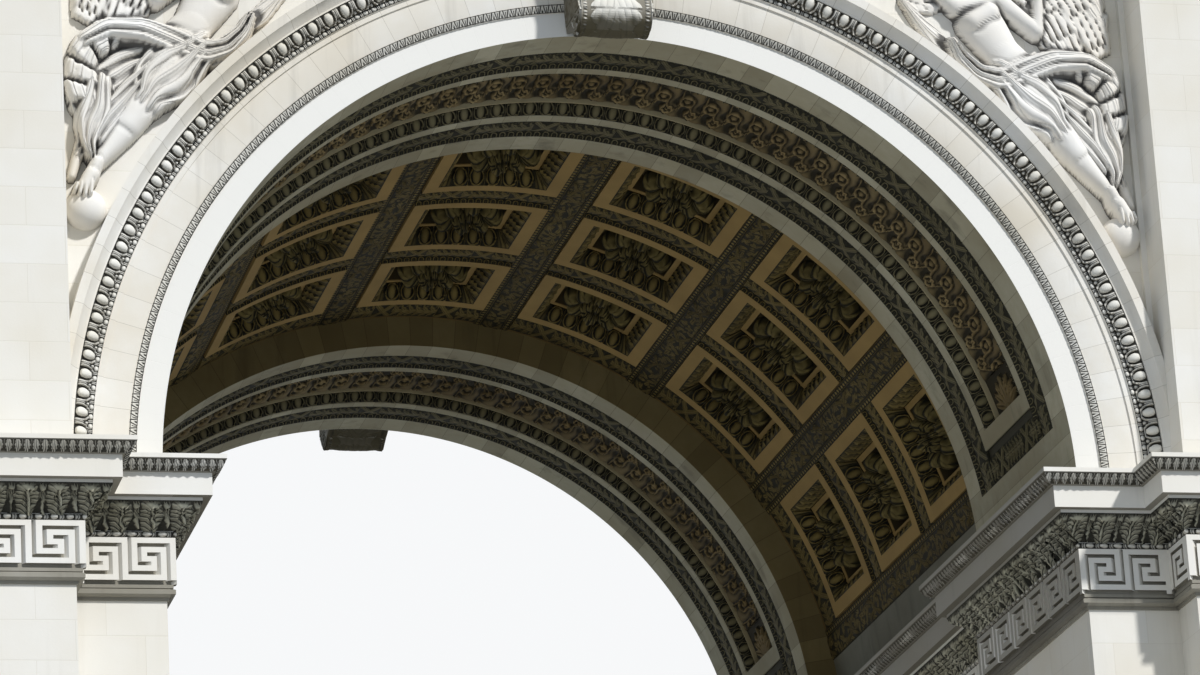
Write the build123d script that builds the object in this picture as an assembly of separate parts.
from build123d import *
import math
import os

# Great arch bay of a triumphal arch, in limestone, at its real size.
# Millimetres. Z is up from the ground, the front face looks toward -Y and the
# origin is the middle of the footprint on the ground.

# Opening and vault
OPENING_RADIUS = 7310          # clear half width, and radius of the round arch
SPRING_HEIGHT = 21880          # ground to the springing line
ARCH_DEPTH = 20540             # front arch plane to back arch plane
RIB_DROP = 490                 # the two ribs hang this far below the coffered vault
VAULT_BACKING = 250            # masonry behind the floors of the coffers
RIB_WIDTH = 5100               # width of each transverse rib along the passage

# Panel sunk in each rib, with its carved borders
RIB_MARGIN = 700               # plain band along the outer edge of a rib
RIB_INNER_MARGIN = 600         # plain band along its inner edge
LAUREL_WIDTH = 710             # carved band beside the margin
LAUREL_SINK = 60               # depth of the bed of a carved band
BED_FOOT_ANGLE = 8.7           # the carved bands meet across the foot of a rib, from this angle
BED_FOOT_TOP = 13.3            # up to this one
PANEL_FILLET = 220             # plain border round the sunk panel
PANEL_DEPTH = 240
PANEL_FOOT_ANGLE = 15.6        # the panel starts this far above the springing
RIB_PARTS = 3                  # stones that each rib is divided into

# Coffers
COFFER_BAYS = 7                # coffers along the curve
COFFER_ROWS = 3                # coffers along the passage
COFFER_ANGLE = 22.5            # one bay of the vault
COFFER_PITCH = 3040            # spacing along the passage
FRAME_WIDTH = 2410             # outside of a coffer's plain frame
FRAME_RAISE = 70               # frame above the carved bands
FRAME_FILLET = 245             # width of the plain frame
SLOPE_RUN = 160                # width of the sloping border
SLOPE_DEPTH = 300
INNER_FILLET = 100
COFFER_DEPTH = 600             # vault face to the flat floor of a coffer
ROSETTE_RADIUS = 560
ROSETTE_HEIGHT = 510
ROSETTE_BUTTON = 150

# Piers
STRIP_WIDTH = 1490             # strip between the opening and the main pier
PIER_WIDTH = 6200              # main pier, from its inner to its outer arris
PIER_PROUD = 850               # main pier in front of the arch plane
PLINTH_HEIGHT = 1150
PLINTH_SPREAD = 330
BASE_MOULDING = 480

# Impost, from the necking up, as heights below the springing
CORNICE_TOP_DROP = 40
CORNICE_HEIGHT = 1120
FRIEZE_HEIGHT = 725
NECKING_HEIGHT = 235
IMPOST_PROJECTION = 845
CORONA_PROJECTION = 640
FRIEZE_PROJECTION = 60

# Archivolt, from the edge of the opening out
FASCIA_WIDTH = 400             # plain face of the voussoirs, before the first moulding
ARCHIVOLT_WIDTH = 1690         # from the edge of the opening to the outside of the archivolt
ARCHIVOLT_PROUD = 415          # outer moulding in front of the arch plane
OVOLO_START = 1180             # from the edge of the opening to the egg moulding
OVOLO_WIDTH = 220
OVOLO_RISE = 115

# Keystone
KEY_WIDTH_FOOT = 1200
KEY_WIDTH_HEAD = 1450
KEY_DROP = 190                 # hangs this far below the crown of the opening
KEY_SET_BACK = 280             # its lower roll starts this far in front of the arch plane
KEY_FOOT_DEPTH = 640
KEY_HEAD_DEPTH = 1050

# Spandrels and their figures
SPANDREL_RISE = 10020          # springing to the soffit of the main entablature
BORDER_WIDTH = 95
BORDER_START = 2500            # springing to the foot of the raised border
BORDER_PROUD = 100
FIGURE_WIDTH = 4000            # from the border toward the keystone
FIGURE_HEIGHT = 5800
FIGURE_HEAD_ROOM = 320         # below the soffit of the main entablature
FIGURE_DEPTH = 420

# Main entablature
ARCHITRAVE_HEIGHT = 1300
MAIN_FRIEZE_HEIGHT = 1900
MAIN_CORNICE_HEIGHT = 2100
CORNICE_PROJECTION = 1250
BLOCKING_HEIGHT = 1350
BLOCKING_SET_BACK = 250

# Worked out from the sizes above
COFFER_RADIUS = OPENING_RADIUS + RIB_DROP
VAULT_EXTRADOS = COFFER_RADIUS + COFFER_DEPTH + VAULT_BACKING
ARCHIVOLT_RADIUS = OPENING_RADIUS + ARCHIVOLT_WIDTH
PIER_INNER_X = OPENING_RADIUS + STRIP_WIDTH
PIER_OUTER_X = PIER_INNER_X + PIER_WIDTH
ARCH_FACE_Y = ARCH_DEPTH / 2
PIER_FACE_Y = ARCH_FACE_Y + PIER_PROUD
RIB_END_Y = ARCH_FACE_Y - RIB_WIDTH
CORNICE_TOP = SPRING_HEIGHT - CORNICE_TOP_DROP
CORNICE_FOOT = CORNICE_TOP - CORNICE_HEIGHT
FRIEZE_FOOT = CORNICE_FOOT - FRIEZE_HEIGHT
NECKING_FOOT = FRIEZE_FOOT - NECKING_HEIGHT
SPANDREL_TOP = SPRING_HEIGHT + SPANDREL_RISE
CROWN_HEIGHT = SPRING_HEIGHT + OPENING_RADIUS
BORDER_FACE_Y = ARCH_FACE_Y + BORDER_PROUD

VAULT_AXIS = Axis((0, 0, SPRING_HEIGHT), (0, -1, 0))
SIDES = {"left": -1, "right": 1}
FACES = {"front": -1, "back": 1}


def polar(radius, angle):
    """A point at this radius and angle, measured up from the springing line."""
    turn = math.radians(angle)
    return (radius * math.cos(turn), radius * math.sin(turn))


def cross_plane(y):
    """The upright plane across the passage at this depth, with the vault axis as its origin."""
    return Plane(origin=(0, y, SPRING_HEIGHT), x_dir=(1, 0, 0), z_dir=(0, -1, 0))


def radial_plane(angle):
    """The plane through the vault axis at this angle: radius along x, depth along y."""
    x, z = polar(1, angle)
    return Plane(origin=(0, 0, SPRING_HEIGHT), x_dir=(x, 0, z), z_dir=(-z, 0, x))


def turned(points, start, end):
    """Revolves a profile of (radius, depth) points round the vault axis."""
    profile = radial_plane(start) * make_face(Polyline(*points, close=True))
    return revolve(profile, VAULT_AXIS, end - start)


def mirrored_y(shape):
    return mirror(shape, Plane.XZ)


def mirrored_x(shape):
    return mirror(shape, Plane.YZ)


def on_face(shape, face):
    """A shape built for the front, turned round to the back when asked."""
    return shape if face == "front" else mirrored_y(shape)


def on_side(shape, side):
    """A shape built for the right, turned round to the left when asked."""
    return shape if side == "right" else mirrored_x(shape)


def pier_outline(z, offset=0):
    """Outline of the right pier with its two strips and the set-back middle of the passage wall."""
    outer = PIER_OUTER_X + offset
    face = PIER_FACE_Y + offset
    inner = PIER_INNER_X - offset
    strip_face = ARCH_FACE_Y + offset
    strip = OPENING_RADIUS - offset
    rib_end = RIB_END_Y - offset
    recess = COFFER_RADIUS - offset
    front = [(outer, -face), (inner, -face), (inner, -strip_face), (strip, -strip_face),
             (strip, -rib_end), (recess, -rib_end)]
    back = [(x, -y) for x, y in reversed(front)]
    return Plane.XY.offset(z) * make_face(Polyline(*front, *back, close=True))


def course(levels, outline=pier_outline):
    """Stacks straight and sloping runs between (height, offset) levels, mitred at every corner."""
    runs = []
    for (low, low_offset), (high, high_offset) in zip(levels, levels[1:]):
        if high > low:
            if low_offset == high_offset:
                runs.append(extrude(outline(low, low_offset), high - low, dir=(0, 0, 1)))
            else:
                ends = [outline(low, low_offset), outline(high, high_offset)]
                runs.append(loft(ends, ruled=True))
    return runs[0] if len(runs) == 1 else runs[0].fuse(*runs[1:])


def block(x0, x1, y0, y1, z0, z1):
    """A plain block between two corners."""
    centre = ((x0 + x1) / 2, (y0 + y1) / 2, (z0 + z1) / 2)
    return Pos(*centre) * Box(x1 - x0, y1 - y0, z1 - z0)


# Plinths, pier shafts and imposts

def plinth():
    top = PLINTH_HEIGHT + BASE_MOULDING
    return course([(0, PLINTH_SPREAD), (PLINTH_HEIGHT, PLINTH_SPREAD),
                   (PLINTH_HEIGHT, PLINTH_SPREAD * 0.75),
                   (PLINTH_HEIGHT + BASE_MOULDING * 0.45, PLINTH_SPREAD * 0.75),
                   (PLINTH_HEIGHT + BASE_MOULDING * 0.85, PLINTH_SPREAD * 0.2),
                   (top, PLINTH_SPREAD * 0.2)])


def pier_shaft():
    foot = PLINTH_HEIGHT + BASE_MOULDING
    return extrude(pier_outline(foot), NECKING_FOOT - foot, dir=(0, 0, 1))


def impost_frieze():
    """Necking torus between two fillets, then the flat band for the key pattern."""
    torus = NECKING_HEIGHT * 0.55
    fillet_height = (NECKING_HEIGHT - torus) / 2
    torus_foot = NECKING_FOOT + fillet_height
    out = FRIEZE_PROJECTION
    return course([(NECKING_FOOT, out * 0.5), (torus_foot, out * 0.5),
                   (torus_foot, out), (torus_foot + torus * 0.25, out * 2),
                   (torus_foot + torus * 0.75, out * 2), (torus_foot + torus, out),
                   (torus_foot + torus, out * 1.5), (FRIEZE_FOOT, out * 1.5),
                   (FRIEZE_FOOT, out), (CORNICE_FOOT, out)])


def impost_cornice():
    """Astragal and leaf moulding under a plain corona, with a small crowning moulding."""
    corona_foot = CORNICE_FOOT + 530
    corona_top = corona_foot + 350
    leaf = CORONA_PROJECTION - FRIEZE_PROJECTION - 60
    return course([(CORNICE_FOOT, FRIEZE_PROJECTION + 50),
                   (CORNICE_FOOT + 110, FRIEZE_PROJECTION + 50),
                   (CORNICE_FOOT + 110, FRIEZE_PROJECTION + 20),
                   (CORNICE_FOOT + 230, FRIEZE_PROJECTION + leaf * 0.22),
                   (CORNICE_FOOT + 370, FRIEZE_PROJECTION + leaf * 0.42),
                   (corona_foot - 50, FRIEZE_PROJECTION + leaf * 0.86),
                   (corona_foot, FRIEZE_PROJECTION + leaf * 0.86),
                   (corona_foot, CORONA_PROJECTION), (corona_top, CORONA_PROJECTION),
                   (corona_top, CORONA_PROJECTION + 40),
                   (CORNICE_TOP - 70, IMPOST_PROJECTION),
                   (CORNICE_TOP, IMPOST_PROJECTION),
                   (SPRING_HEIGHT, 0)])


# Ribs and coffered vault

def rib_profile():
    """Section of the front rib before it is carved."""
    return [(VAULT_EXTRADOS, -ARCH_FACE_Y), (OPENING_RADIUS, -ARCH_FACE_Y),
            (OPENING_RADIUS, -RIB_END_Y), (VAULT_EXTRADOS, -RIB_END_Y)]


def bed_space(near, far, start, end):
    """The space of one sunk bed in the soffit of a rib."""
    over = 50
    return turned([(OPENING_RADIUS - over, near), (OPENING_RADIUS + LAUREL_SINK, near),
                   (OPENING_RADIUS + LAUREL_SINK, far), (OPENING_RADIUS - over, far)], start, end)


def rib_beds(index):
    """Beds for the laurel: one along each side of the front rib, and one across each foot."""
    step = 180 / RIB_PARTS
    start = max(index * step - 1, BED_FOOT_ANGLE)
    end = min((index + 1) * step + 1, 180 - BED_FOOT_ANGLE)
    near = -ARCH_FACE_Y + RIB_MARGIN
    far = -RIB_END_Y - RIB_INNER_MARGIN
    beds = [bed_space(near, near + LAUREL_WIDTH, start, end),
            bed_space(far - LAUREL_WIDTH, far, start, end)]
    if index == 0:
        beds.append(bed_space(near, far, BED_FOOT_ANGLE, BED_FOOT_TOP))
    if index == RIB_PARTS - 1:
        beds.append(bed_space(near, far, 180 - BED_FOOT_TOP, 180 - BED_FOOT_ANGLE))
    return beds


def rib_panel(start, end):
    """The space of the sunk panel between two angles, with its sloping long sides."""
    near = -ARCH_FACE_Y + RIB_MARGIN + LAUREL_WIDTH + PANEL_FILLET
    far = -RIB_END_Y - RIB_INNER_MARGIN - LAUREL_WIDTH - PANEL_FILLET
    floor = OPENING_RADIUS + PANEL_DEPTH
    over = 50
    return turned([(OPENING_RADIUS - over, near - over), (floor, near + PANEL_DEPTH),
                   (floor, far - PANEL_DEPTH), (OPENING_RADIUS - over, far + over)], start, end)


def rib_part(index):
    """One part of the front rib, counted from the right springing."""
    step = 180 / RIB_PARTS
    start = index * step
    end = start + step
    panel_start = max(start - 1, PANEL_FOOT_ANGLE)
    panel_end = min(end + 1, 180 - PANEL_FOOT_ANGLE)
    rib = turned(rib_profile(), start, end)
    return rib.cut(rib_panel(panel_start, panel_end), *rib_beds(index))


def coffer_space():
    """The space of one coffer at the crown: borders that slope in, an inner fillet, a deep square."""
    half = FRAME_WIDTH / 2 - FRAME_FILLET
    step = half - SLOPE_RUN
    step_radius = COFFER_RADIUS + SLOPE_DEPTH
    over = 100
    lean = SLOPE_RUN / SLOPE_DEPTH
    wide = half + over * lean
    narrow = step - over * lean
    along = turned([(COFFER_RADIUS - over, -wide), (step_radius, -step),
                    (step_radius, step), (COFFER_RADIUS - over, wide)], 80, 100)
    face_z = math.sqrt(COFFER_RADIUS ** 2 - half ** 2)
    step_z = math.sqrt(step_radius ** 2 - step ** 2)
    wedge = make_face(Polyline((-wide, face_z - over), (wide, face_z - over),
                               (narrow, step_z + over), (-narrow, step_z + over), close=True))
    across = extrude(Plane.XZ.offset(-FRAME_WIDTH) * wedge, 2 * FRAME_WIDTH)
    slope = Pos(0, 0, -SPRING_HEIGHT) * along & across
    recess = step - INNER_FILLET
    floor_z = COFFER_RADIUS + COFFER_DEPTH
    return slope + block(-recess, recess, -recess, recess, face_z, floor_z)


def coffer_rows():
    """Depths of the middles of the coffers along the passage."""
    first = -(COFFER_ROWS - 1) / 2
    return [(first + row) * COFFER_PITCH for row in range(COFFER_ROWS)]


def coffer_place(angle, y):
    """Turns a shape made at the crown to its place on the vault."""
    return Pos(0, y, SPRING_HEIGHT) * Rot(Y=90 - angle)


def bay_angle(index):
    """Middle of a coffered bay, counted from the right."""
    return 90 + (index - (COFFER_BAYS - 1) / 2) * COFFER_ANGLE


def coffer_bay(index):
    """One bay of the vault across the passage, with its row of coffers."""
    middle = bay_angle(index)
    bed = COFFER_RADIUS + FRAME_RAISE
    bay = turned([(bed, -RIB_END_Y), (VAULT_EXTRADOS, -RIB_END_Y),
                  (VAULT_EXTRADOS, RIB_END_Y), (bed, RIB_END_Y)],
                 middle - COFFER_ANGLE / 2, middle + COFFER_ANGLE / 2)
    frame_turn = math.degrees(FRAME_WIDTH / 2 / COFFER_RADIUS)
    half = FRAME_WIDTH / 2
    frames = [turned([(COFFER_RADIUS, y - half), (bed, y - half), (bed, y + half),
                      (COFFER_RADIUS, y + half)], middle - frame_turn, middle + frame_turn)
              for y in coffer_rows()]
    bay = bay.fuse(*frames)
    spaces = [coffer_place(middle, y) * coffer_space() for y in coffer_rows()]
    return bay.cut(*spaces)


def vault_springer():
    """Plain foot of the coffered vault on the right, below the first bay."""
    bed = COFFER_RADIUS + FRAME_RAISE
    top = bay_angle(0) - COFFER_ANGLE / 2
    return turned([(bed, -RIB_END_Y), (VAULT_EXTRADOS, -RIB_END_Y),
                   (VAULT_EXTRADOS, RIB_END_Y), (bed, RIB_END_Y)], 0, top)


def rosette():
    """Boss of a coffer at the crown: a bell of leaves with a sunk button, hanging from the floor."""
    floor_z = COFFER_RADIUS + COFFER_DEPTH
    tip = floor_z - ROSETTE_HEIGHT
    outline = Polyline((0, floor_z), (ROSETTE_RADIUS * 0.6, floor_z),
                       (ROSETTE_RADIUS * 0.8, floor_z - ROSETTE_HEIGHT * 0.2),
                       (ROSETTE_RADIUS, floor_z - ROSETTE_HEIGHT * 0.55),
                       (ROSETTE_RADIUS * 0.95, floor_z - ROSETTE_HEIGHT * 0.8),
                       (ROSETTE_RADIUS * 0.7, tip), (ROSETTE_BUTTON * 1.2, tip + ROSETTE_HEIGHT * 0.06),
                       (ROSETTE_BUTTON, tip + ROSETTE_HEIGHT * 0.4),
                       (0, tip + ROSETTE_HEIGHT * 0.4), close=True)
    return revolve(Plane.XZ * make_face(outline), Axis.Z)


def coffer_rosettes():
    """All the bosses of the vault, one in each coffer."""
    return Compound([coffer_place(bay_angle(bay), y) * rosette()
                     for bay in range(COFFER_BAYS) for y in coffer_rows()])


# Archivolts, keystones and spandrels

def archivolt_profile():
    """Mouldings of the front archivolt as (radius, depth) points."""
    def at(out, proud):
        return (OPENING_RADIUS + out, -ARCH_FACE_Y - proud)

    fascia = 72
    astragal = 130
    ovolo_end = OVOLO_START + OVOLO_WIDTH
    ovolo_top = astragal + OVOLO_RISE
    rim = ARCHIVOLT_RADIUS - OPENING_RADIUS
    return [at(FASCIA_WIDTH, 0), at(FASCIA_WIDTH, 15), at(FASCIA_WIDTH + 130, fascia),
            at(OVOLO_START - 180, fascia), at(OVOLO_START - 180, fascia + 30),
            at(OVOLO_START - 95, fascia + 30), at(OVOLO_START - 85, astragal),
            at(OVOLO_START, astragal), at(OVOLO_START + OVOLO_WIDTH * 0.3, astragal + OVOLO_RISE * 0.5),
            at(OVOLO_START + OVOLO_WIDTH * 0.65, astragal + OVOLO_RISE * 0.85),
            at(ovolo_end, ovolo_top), at(ovolo_end, ovolo_top + 25), at(ovolo_end + 25, ovolo_top + 25),
            at(rim - 210, ARCHIVOLT_PROUD - 100), at(rim - 150, ARCHIVOLT_PROUD - 20),
            at(rim - 140, ARCHIVOLT_PROUD), at(rim, ARCHIVOLT_PROUD), at(rim, 0)]


def archivolt_half():
    """Right half of the front archivolt, cut round the main pier and the keystone."""
    ring = turned(archivolt_profile(), 0, 90)
    return ring - pier_head() - keystone()


def pier_head():
    """Right main pier between the impost and the entablature."""
    return block(PIER_INNER_X, PIER_OUTER_X, -PIER_FACE_Y, PIER_FACE_Y,
                 SPRING_HEIGHT, SPANDREL_TOP)


def keystone():
    """Front scroll console: wide at the head, a large roll above and a small one at the foot."""
    foot = CROWN_HEIGHT - KEY_DROP
    back = -ARCH_FACE_Y
    small = KEY_FOOT_DEPTH / 2
    large = KEY_HEAD_DEPTH * 0.36
    head = SPANDREL_TOP
    small_y = back - KEY_SET_BACK - small
    large_y = back - KEY_HEAD_DEPTH + large
    side = Plane.YZ
    body = make_face(Polyline((back, head), (back - KEY_HEAD_DEPTH, head),
                              (back - KEY_HEAD_DEPTH, head - large),
                              (small_y - small, foot + small * 1.3), (small_y, foot + small * 0.4),
                              (back, CROWN_HEIGHT + 30), close=True))
    rolls = (Pos(small_y, foot + small) * Circle(small)) + (Pos(large_y, head - large) * Circle(large))
    console = extrude(side * (body + rolls), KEY_WIDTH_HEAD / 2, both=True)
    console -= block(-KEY_WIDTH_HEAD, KEY_WIDTH_HEAD, back, back + 2 * KEY_HEAD_DEPTH, foot - 10, head + 10)
    wedge = make_face(Polyline((-KEY_WIDTH_FOOT / 2, foot - 50), (KEY_WIDTH_FOOT / 2, foot - 50),
                               (KEY_WIDTH_HEAD / 2, head), (-KEY_WIDTH_HEAD / 2, head), close=True))
    taper = extrude(Plane(origin=(0, back, 0), x_dir=(1, 0, 0), z_dir=(0, -1, 0)) * wedge,
                    2 * KEY_HEAD_DEPTH)
    return console & taper


def spandrel_mass():
    """Masonry of the right haunch, from front arch plane to back arch plane."""
    mass = block(0, PIER_INNER_X, -ARCH_FACE_Y, ARCH_FACE_Y, SPRING_HEIGHT, SPANDREL_TOP)
    bore = extrude(cross_plane(2 * ARCH_FACE_Y) * Circle(VAULT_EXTRADOS), 4 * ARCH_FACE_Y)
    return mass - bore


def archivolt_ring():
    """The space of the right half of the front archivolt, as far out as the main pier."""
    near = -PIER_FACE_Y
    return turned([(OPENING_RADIUS, -ARCH_FACE_Y), (ARCHIVOLT_RADIUS, -ARCH_FACE_Y),
                   (ARCHIVOLT_RADIUS, near), (OPENING_RADIUS, near)], 0, 90)


def spandrel_border(face):
    """Narrow raised borders up the outer edges of both spandrels of one face."""
    foot = SPRING_HEIGHT + BORDER_START
    strip = block(PIER_INNER_X - BORDER_WIDTH, PIER_INNER_X, -BORDER_FACE_Y, -ARCH_FACE_Y,
                  foot, SPANDREL_TOP)
    strip -= archivolt_ring()
    return on_face(Compound([strip, mirrored_x(strip)]), face)


def figure_point(inset, drop):
    """A point of the right figure, as shares of its width and height from its upper outer corner."""
    return (PIER_INNER_X - BORDER_WIDTH - inset * FIGURE_WIDTH,
            SPANDREL_TOP - FIGURE_HEAD_ROOM - drop * FIGURE_HEIGHT)


def figure_relief(outline, depth):
    """A flat relief on the front arch plane inside a closed outline of figure points."""
    plane = Plane(origin=(0, -ARCH_FACE_Y, 0), x_dir=(1, 0, 0), z_dir=(0, -1, 0))
    return extrude(plane * make_face(outline), depth)


def figure_ball(inset, drop, radius):
    """A ball that stands half out of the front arch plane."""
    x, z = figure_point(inset, drop)
    return Pos(x, -ARCH_FACE_Y, z) * Sphere(radius)


def spandrel_figure():
    """Masses of the winged figure in the right spandrel of the front: wing, body, head, arm, globe."""
    at = figure_point
    wing = Spline(at(0.6, 0.2), at(0.49, 0.07), at(0.28, 0.02), at(0.07, 0.04), at(0.02, 0.19),
                  at(0.05, 0.38), at(0.15, 0.5), at(0.33, 0.46), at(0.48, 0.36), periodic=True)
    body = Spline(at(0.07, 0.93), at(0.16, 0.82), at(0.3, 0.68), at(0.44, 0.57), at(0.59, 0.47),
                  at(0.72, 0.36), at(0.78, 0.25), at(0.72, 0.17), at(0.59, 0.18), at(0.49, 0.26),
                  at(0.4, 0.36), at(0.24, 0.44), at(0.09, 0.55), at(0.02, 0.7), at(0.02, 0.88),
                  periodic=True)
    arm = Polyline(at(0.7, 0.22), at(0.7, 0.17), at(0.95, 0.12), at(1.0, 0.16), close=True)
    masses = [figure_relief(body, FIGURE_DEPTH * 0.8), figure_relief(arm, FIGURE_DEPTH * 0.6),
              figure_ball(0.7, 0.11, FIGURE_HEIGHT * 0.055), figure_ball(0.07, 0.95, FIGURE_HEIGHT * 0.045)]
    stone = block(0, PIER_INNER_X - BORDER_WIDTH, -PIER_FACE_Y, -ARCH_FACE_Y, SPRING_HEIGHT, SPANDREL_TOP)
    figure = figure_relief(wing, FIGURE_DEPTH * 0.45).fuse(*masses)
    return (figure & stone) - archivolt_ring()


# Main entablature

def crown_outline(z, offset=0):
    width = 2 * (PIER_OUTER_X + offset)
    depth = 2 * (PIER_FACE_Y + offset)
    return Plane.XY.offset(z) * Rectangle(width, depth)


def main_architrave():
    top = SPANDREL_TOP + ARCHITRAVE_HEIGHT
    step = ARCHITRAVE_HEIGHT * 0.45
    return course([(SPANDREL_TOP, 0), (SPANDREL_TOP + step, 0), (SPANDREL_TOP + step, 40),
                   (top - 180, 40), (top - 120, 150), (top, 150)], crown_outline)


def main_frieze():
    foot = SPANDREL_TOP + ARCHITRAVE_HEIGHT
    return course([(foot, 0), (foot + MAIN_FRIEZE_HEIGHT, 0)], crown_outline)


def main_cornice():
    foot = SPANDREL_TOP + ARCHITRAVE_HEIGHT + MAIN_FRIEZE_HEIGHT
    top = foot + MAIN_CORNICE_HEIGHT
    out = CORNICE_PROJECTION
    return course([(foot, 60), (foot + 250, 60), (foot + 500, out * 0.35), (foot + 900, out * 0.35),
                   (foot + 900, out * 0.8), (foot + 1450, out * 0.8), (foot + 1500, out * 0.84),
                   (top - 120, out), (top, out)], crown_outline)


def blocking_course():
    foot = SPANDREL_TOP + ARCHITRAVE_HEIGHT + MAIN_FRIEZE_HEIGHT + MAIN_CORNICE_HEIGHT
    back = BLOCKING_SET_BACK
    return course([(foot, -back), (foot + BLOCKING_HEIGHT - 200, -back),
                   (foot + BLOCKING_HEIGHT - 200, -back + 120),
                   (foot + BLOCKING_HEIGHT, -back + 120)], crown_outline)


def sub_parts():
    """Every piece by its name."""
    parts = {}
    for side in SIDES:
        parts[f"plinth_{side}"] = on_side(plinth(), side)
        parts[f"pier_shaft_{side}"] = on_side(pier_shaft(), side)
        parts[f"impost_frieze_{side}"] = on_side(impost_frieze(), side)
        parts[f"impost_cornice_{side}"] = on_side(impost_cornice(), side)
        parts[f"pier_head_{side}"] = on_side(pier_head(), side)
        parts[f"vault_springer_{side}"] = on_side(vault_springer(), side)
        parts[f"spandrel_mass_{side}"] = on_side(spandrel_mass(), side)
    for face in FACES:
        for index in range(RIB_PARTS):
            parts[f"vault_rib_{face}_{index + 1}"] = on_face(rib_part(index), face)
        for side in SIDES:
            parts[f"archivolt_{face}_{side}"] = on_face(on_side(archivolt_half(), side), face)
            parts[f"spandrel_figure_{face}_{side}"] = on_face(on_side(spandrel_figure(), side), face)
        parts[f"spandrel_border_{face}"] = spandrel_border(face)
        parts[f"keystone_{face}"] = on_face(keystone(), face)
    for index in range(COFFER_BAYS):
        parts[f"coffer_bay_{index + 1}"] = coffer_bay(index)
    parts["coffer_rosettes"] = coffer_rosettes()
    parts["main_architrave"] = main_architrave()
    parts["main_frieze"] = main_frieze()
    parts["main_cornice"] = main_cornice()
    parts["blocking_course"] = blocking_course()
    return parts


os.makedirs("parts", exist_ok=True)
for name, shape in sub_parts().items():
    export_step(shape, f"parts/{name}.step")
